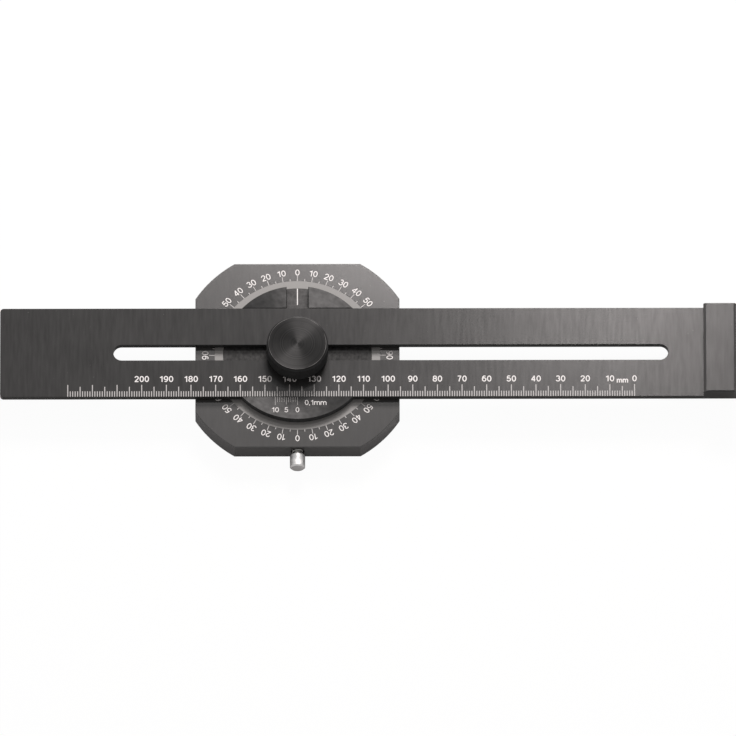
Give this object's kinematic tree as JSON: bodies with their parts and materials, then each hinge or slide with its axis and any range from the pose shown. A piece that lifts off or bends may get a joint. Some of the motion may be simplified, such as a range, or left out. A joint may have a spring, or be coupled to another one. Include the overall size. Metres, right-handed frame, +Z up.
{
  "type": "angle marking gauge",
  "caption": "Flat graduated beam with an end block, sliding and turning in a swivel disc on a four-sided stop plate, with a clamp knob and an index pin.",
  "frame": {"origin": "on the swivel axis, in the plane of the stop plate's underside", "axes": "+X along the beam to its marking end at angle 0, +Z up out of the plate through the knob; the index button points to -Y"},
  "size_m": [0.299, 0.0903, 0.0202],
  "materials": {
    "black_plate": "black anodised, fine brushed",
    "light_ring": "natural, turned",
    "white_plastic": "matte",
    "black_disc": "black anodised, satin",
    "bright_steel": "ground",
    "black_beam": "black anodised, brushed across",
    "black_block": "black anodised, satin",
    "dark_screws": "black oxide",
    "brass": "turned",
    "black_knob": "black anodised, turned",
    "polished_steel": "polished"
  },
  "bodies": {
    "base": {"stop_plate": "black_plate", "bearing_ring": "light_ring", "upper_friction_ring": "white_plastic", "lower_friction_ring": "white_plastic", "index_bush": "brass", "index_spring": "bright_steel"},
    "swivel": {"swivel_disc": "black_disc", "clamp_stud": "bright_steel", "clamp_plate": "bright_steel", "wave_washer": "bright_steel", "slot_sleeve": "white_plastic"},
    "rule": {"beam": "black_beam", "end_block": "black_block", "end_block_screws": "dark_screws", "end_block_dowels": "bright_steel"},
    "captive_washer": {"knob_washer": "bright_steel"},
    "knob": {"clamp_knob": "black_knob", "knob_insert": "brass"},
    "index": {"index_pin": "bright_steel", "index_button": "polished_steel"}
  },
  "joints": [
    {"name": "disc_swivel", "type": "hinge", "parent": "base", "child": "swivel", "pos_m": [0, 0, 0.009], "axis": [0, 0, 1], "continuous": true},
    {"name": "beam_slide", "type": "slide", "parent": "swivel", "child": "rule", "axis": [1, 0, 0], "range_m": [-0.1471, 0.0713]},
    {"name": "knob_lift", "type": "slide", "parent": "swivel", "child": "captive_washer", "axis": [0, 0, 1], "range_m": [0, 0.001]},
    {"name": "knob_turn", "type": "hinge", "parent": "captive_washer", "child": "knob", "pos_m": [0, 0, 0.0165], "axis": [0, 0, 1], "range_deg": [0, 360]},
    {"name": "index_push", "type": "slide", "parent": "base", "child": "index", "axis": [0, 1, 0], "range_m": [0, 0.0015], "stiffness_N_per_m": 600, "springref_m": -0.002, "deforming": ["index_spring"]}
  ],
  "couplings": [
    {"joint": "knob_lift", "follows": "knob_turn", "m_per_rad": 0.00015915}
  ]
}
